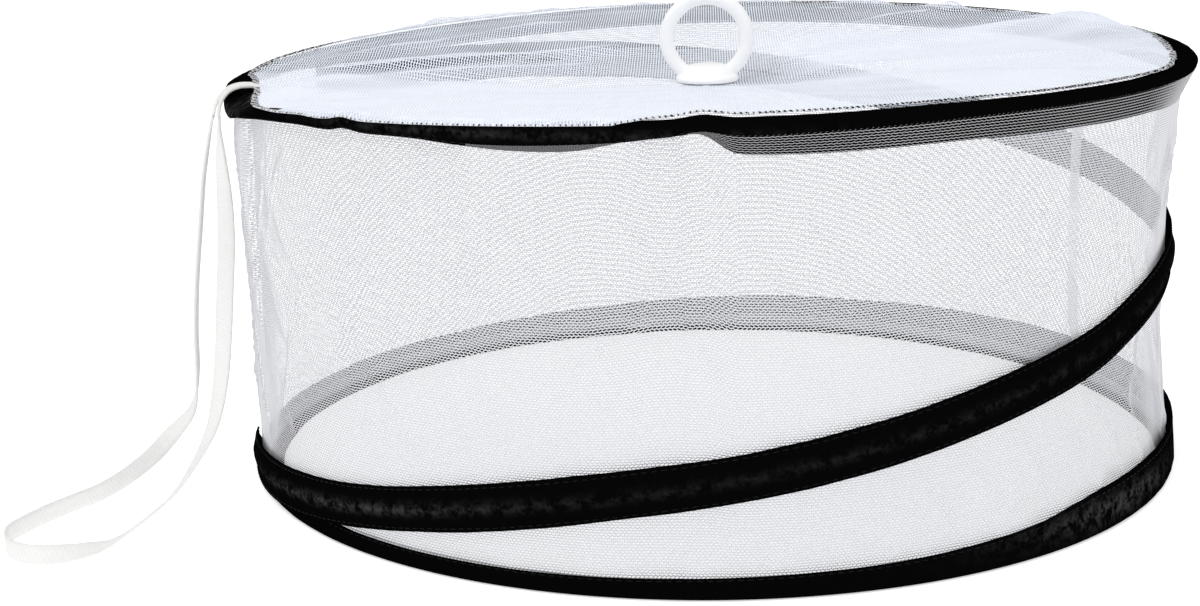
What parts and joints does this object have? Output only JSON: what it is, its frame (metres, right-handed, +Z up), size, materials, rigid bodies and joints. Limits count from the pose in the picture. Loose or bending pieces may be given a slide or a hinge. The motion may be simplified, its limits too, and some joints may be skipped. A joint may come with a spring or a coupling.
{
  "type": "pop-up mesh cover",
  "caption": "Round collapsible netting cover on sprung wire hoops and a rising coil, with an open base, a top lifting ring and a hanging tape loop.",
  "frame": {"origin": "centre of the lower hoop, on the surface that it stands on", "axes": "+Z up along the drum's axis; the tape loop hangs at -X; -Y is the side where the coil crosses low"},
  "size_m": [0.4248, 0.3558, 0.1746],
  "materials": {
    "black_sleeve_fabric": "satin woven polyester binding",
    "spring_steel": "drawn wire",
    "crimp_steel": "plated",
    "white_netting": "fine knitted netting",
    "white_plastic": "gloss moulded",
    "white_tape": "flat woven tape"
  },
  "bodies": {
    "base": {"lower_hoop_sleeve": "black_sleeve_fabric", "lower_hoop_wire": "spring_steel", "lower_hoop_ferrule": "crimp_steel", "coil_sleeve": "black_sleeve_fabric", "coil_wire": "spring_steel", "coil_lower_end_cap": "crimp_steel", "coil_upper_end_cap": "crimp_steel", "side_netting": "white_netting", "side_seam_tape": "white_netting", "strap_loop": "white_tape"},
    "upper_hoop": {"upper_hoop_sleeve": "black_sleeve_fabric", "upper_hoop_wire": "spring_steel", "upper_hoop_ferrule": "crimp_steel", "top_netting_panel": "white_netting", "strap_anchor": "white_tape"},
    "ring": {"lifting_ring": "white_plastic", "ring_washer": "white_plastic", "ring_rivet": "white_plastic"}
  },
  "joints": [
    {"name": "collapse", "type": "slide", "parent": "base", "child": "upper_hoop", "axis": [0, 0, 1], "range_m": [-0.118, 0], "stiffness_N_per_m": 60, "springref_m": 0.03, "deforming": ["coil_sleeve", "coil_wire", "coil_lower_end_cap", "coil_upper_end_cap", "side_netting", "side_seam_tape", "strap_loop"]},
    {"name": "ring_swivel", "type": "hinge", "parent": "upper_hoop", "child": "ring", "pos_m": [0, 0, 0.145], "axis": [0, 0, 1], "continuous": true}
  ]
}
